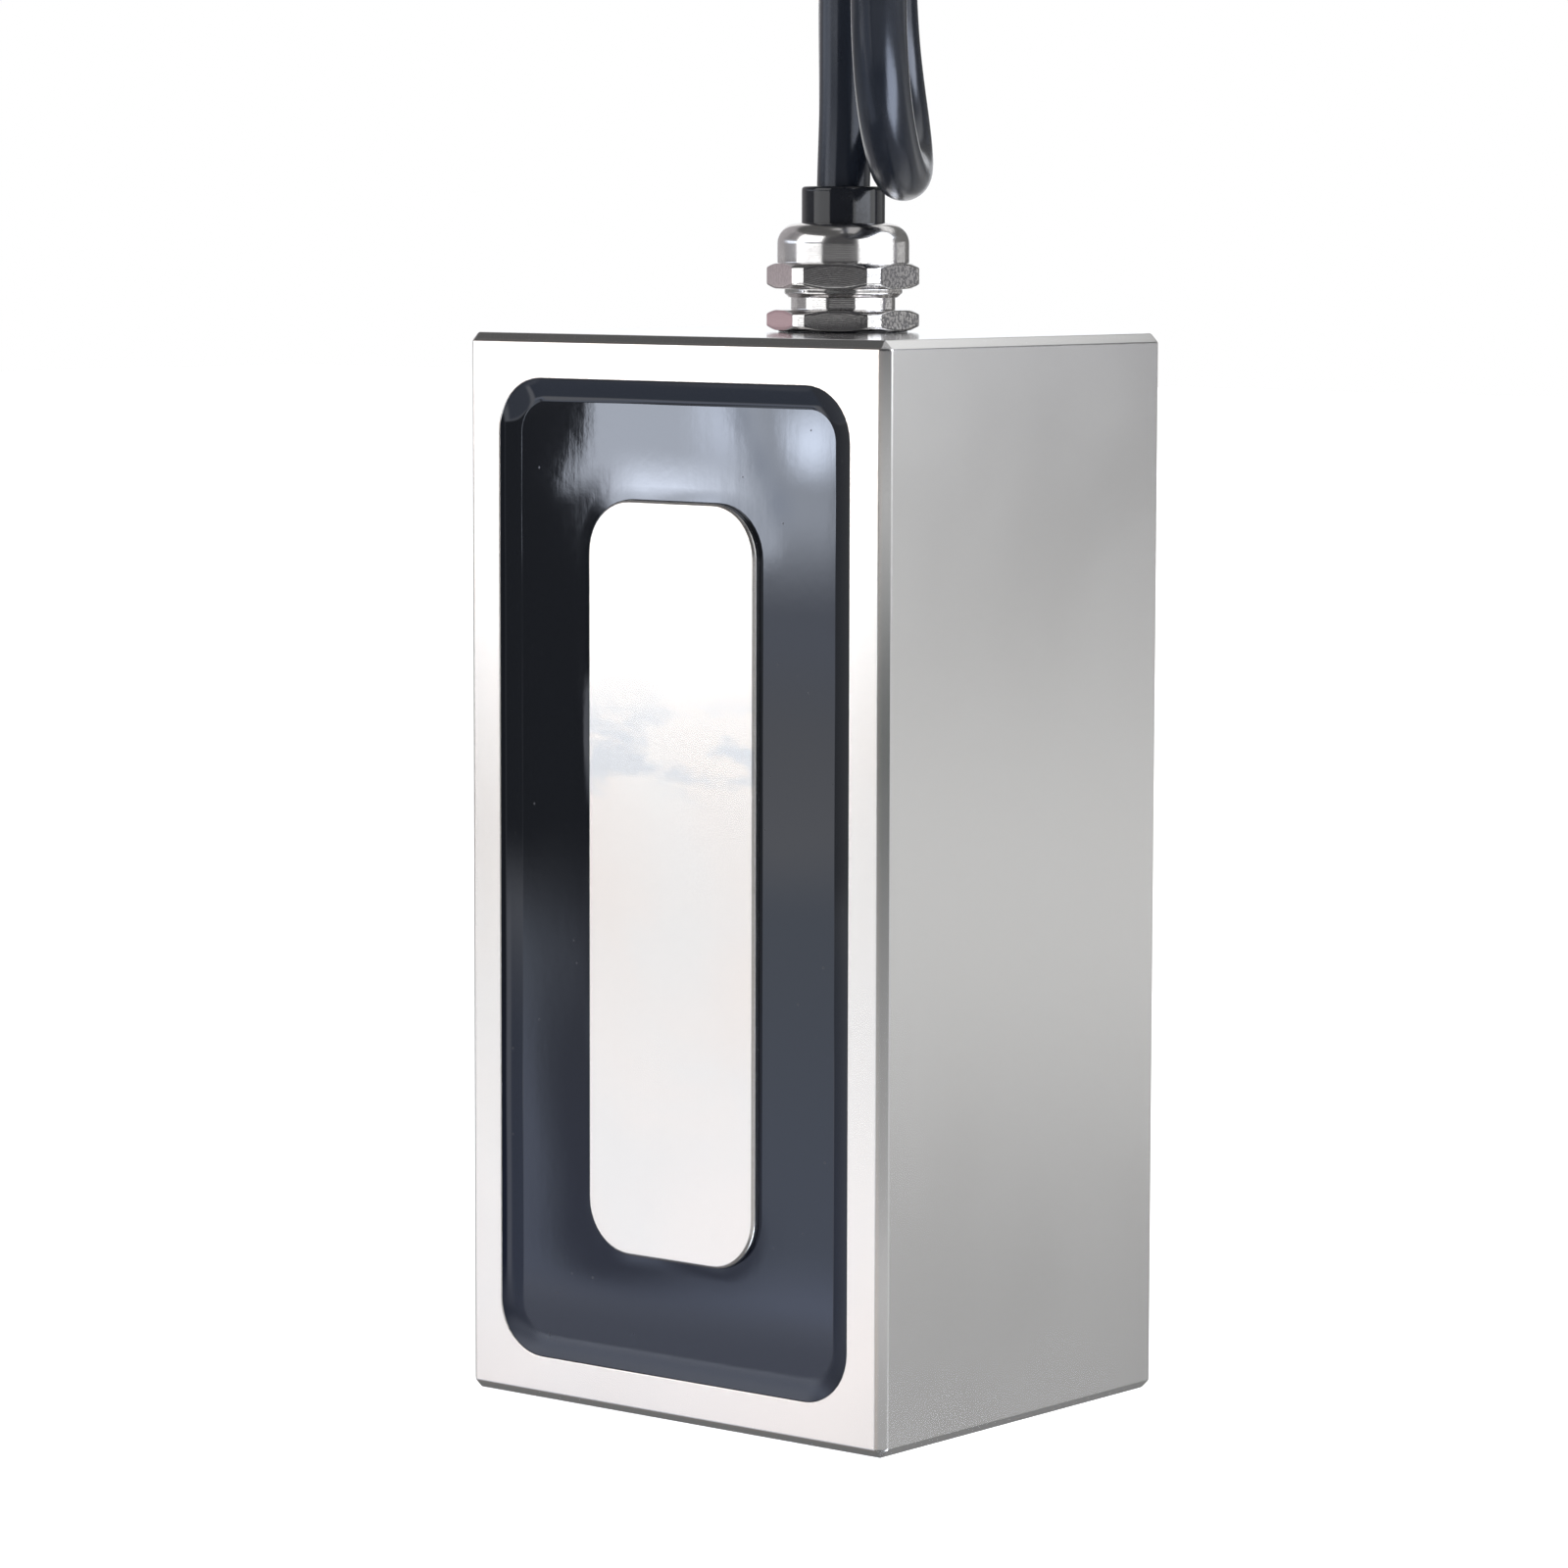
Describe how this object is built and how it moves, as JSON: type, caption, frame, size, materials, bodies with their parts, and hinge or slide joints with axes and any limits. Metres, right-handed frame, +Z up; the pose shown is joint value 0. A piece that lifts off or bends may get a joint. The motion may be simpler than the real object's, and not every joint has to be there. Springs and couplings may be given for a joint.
{
  "type": "holding electromagnet",
  "caption": "Rectangular holding electromagnet: steel block with a resin-potted coil round a central pole, and a cable gland with a free lead on its end.",
  "frame": {"origin": "middle of the block's plain end, which it stands on", "axes": "+Z up along the block's length to the cable gland, -Y out of the pole face, +Y out of the mounting face, X across its width"},
  "size_m": [0.1013, 0.1193, 0.1835],
  "materials": {
    "housing_steel": "satin nickel plate on ground steel",
    "pole_steel": "satin nickel plate on ground steel",
    "screw_steel": "zinc plated",
    "gland_nickel": "bright nickel plate on brass",
    "resin": "glossy black casting resin",
    "cable_sheath": "glossy black cable sheath",
    "rubber": "black rubber, satin",
    "black_nylon": "black nylon",
    "white_nylon": "natural nylon",
    "enamelled_copper": "enamelled copper wire",
    "polyester_tape": "amber insulating tape",
    "insulation_card": "insulation card",
    "red_insulation": "red wire insulation",
    "white_insulation": "white wire insulation",
    "tinned_copper": "tinned copper strands"
  },
  "bodies": {
    "root": {"housing": "housing_steel", "pole_core": "pole_steel", "core_screw_upper": "screw_steel", "core_screw_lower": "screw_steel", "floor_insulation": "insulation_card", "coil_bobbin": "white_nylon", "coil_winding": "enamelled_copper", "winding_tape": "polyester_tape", "potting_resin": "resin", "winding_lead_start": "enamelled_copper", "winding_lead_finish": "enamelled_copper", "splice_start": "white_nylon", "splice_finish": "white_nylon", "inner_core_start": "red_insulation", "inner_core_finish": "white_insulation", "gland_gasket": "rubber", "gland_body": "gland_nickel", "gland_dome_nut": "gland_nickel", "gland_seal": "rubber", "gland_claw": "white_nylon", "cable_sleeve": "rubber", "cable": "cable_sheath", "cable_coil": "cable_sheath", "cable_tail": "cable_sheath", "cable_tie": "black_nylon", "end_core_a": "red_insulation", "end_core_b": "white_insulation", "end_tip_a": "tinned_copper", "end_tip_b": "tinned_copper"}
  },
  "joints": []
}
